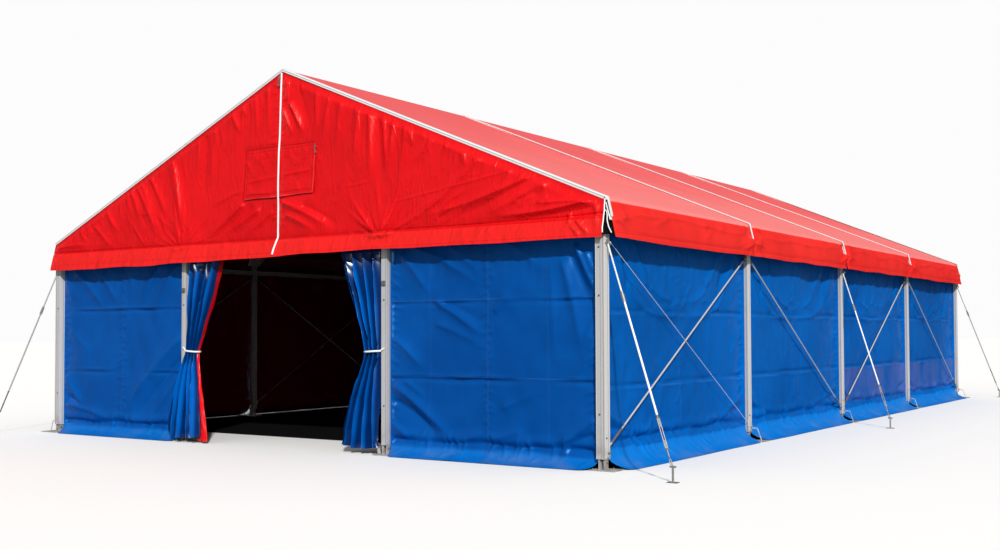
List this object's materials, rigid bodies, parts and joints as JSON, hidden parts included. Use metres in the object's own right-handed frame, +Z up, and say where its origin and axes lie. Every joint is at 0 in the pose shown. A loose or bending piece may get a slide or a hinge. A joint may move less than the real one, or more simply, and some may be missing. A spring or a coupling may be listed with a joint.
{
  "type": "marquee tent",
  "caption": "Clear-span marquee with a red ridge roof, blue side walls with outward skirts, a gathered-curtain doorway in one gable, aluminium frames, bracing and guys.",
  "frame": {"origin": "on the ground at the centre of the whole tent with its guys", "axes": "+Z up, the ridge runs along Y and the door gable faces -Y; seen from the door, +X is to the right"},
  "size_m": [12.28, 17.19, 5.109],
  "materials": {
    "frame_aluminium": "weathered satin extrusion with brownish edges and grooves",
    "roof_pvc": "glossy red PVC-coated polyester",
    "gable_pvc": "glossy deep red PVC-coated polyester",
    "wall_pvc": "glossy blue PVC-coated polyester",
    "curtain_pvc": "glossy blue PVC-coated polyester with a red back",
    "brace_steel": "dull galvanised",
    "cable_steel": "dark twisted wire",
    "guy_steel": "galvanised fittings on wire and white rope"
  },
  "bodies": {
    "root": {"leg_right_1": "frame_aluminium", "leg_right_2": "frame_aluminium", "leg_right_3": "frame_aluminium", "leg_right_4": "frame_aluminium", "leg_right_5": "frame_aluminium", "leg_left_1": "frame_aluminium", "leg_left_2": "frame_aluminium", "leg_left_3": "frame_aluminium", "leg_left_4": "frame_aluminium", "leg_left_5": "frame_aluminium", "rafters_1": "frame_aluminium", "rafters_2": "frame_aluminium", "rafters_3": "frame_aluminium", "rafters_4": "frame_aluminium", "rafters_5": "frame_aluminium", "gable_post_front_left": "frame_aluminium", "gable_post_front_right": "frame_aluminium", "gable_post_rear_left": "frame_aluminium", "gable_post_rear_right": "frame_aluminium", "eave_rail_right": "frame_aluminium", "eave_rail_left": "frame_aluminium", "ridge_beam": "frame_aluminium", "door_header": "frame_aluminium", "roof_sheet_1": "roof_pvc", "roof_sheet_2": "roof_pvc", "roof_sheet_3": "roof_pvc", "roof_sheet_4": "roof_pvc", "gable_sheet_front": "gable_pvc", "gable_sheet_rear": "gable_pvc", "side_wall_right_1": "wall_pvc", "side_wall_right_2": "wall_pvc", "side_wall_right_3": "wall_pvc", "side_wall_right_4": "wall_pvc", "side_wall_left_1": "wall_pvc", "side_wall_left_2": "wall_pvc", "side_wall_left_3": "wall_pvc", "side_wall_left_4": "wall_pvc", "front_wall_left": "wall_pvc", "front_wall_right": "wall_pvc", "rear_wall_left": "wall_pvc", "rear_wall_middle": "wall_pvc", "rear_wall_right": "wall_pvc", "door_curtain_left": "curtain_pvc", "door_curtain_right": "curtain_pvc", "brace_right_1": "brace_steel", "brace_right_2": "brace_steel", "brace_right_3": "brace_steel", "brace_right_4": "brace_steel", "brace_left_1": "brace_steel", "brace_left_2": "brace_steel", "brace_left_3": "brace_steel", "brace_left_4": "brace_steel", "brace_cable_right": "cable_steel", "brace_cable_left": "cable_steel", "guy_front_right": "guy_steel", "guy_front_left": "guy_steel", "guy_middle_right": "guy_steel", "guy_middle_left": "guy_steel", "guy_rear_right": "guy_steel", "guy_rear_left": "guy_steel"}
  },
  "joints": []
}
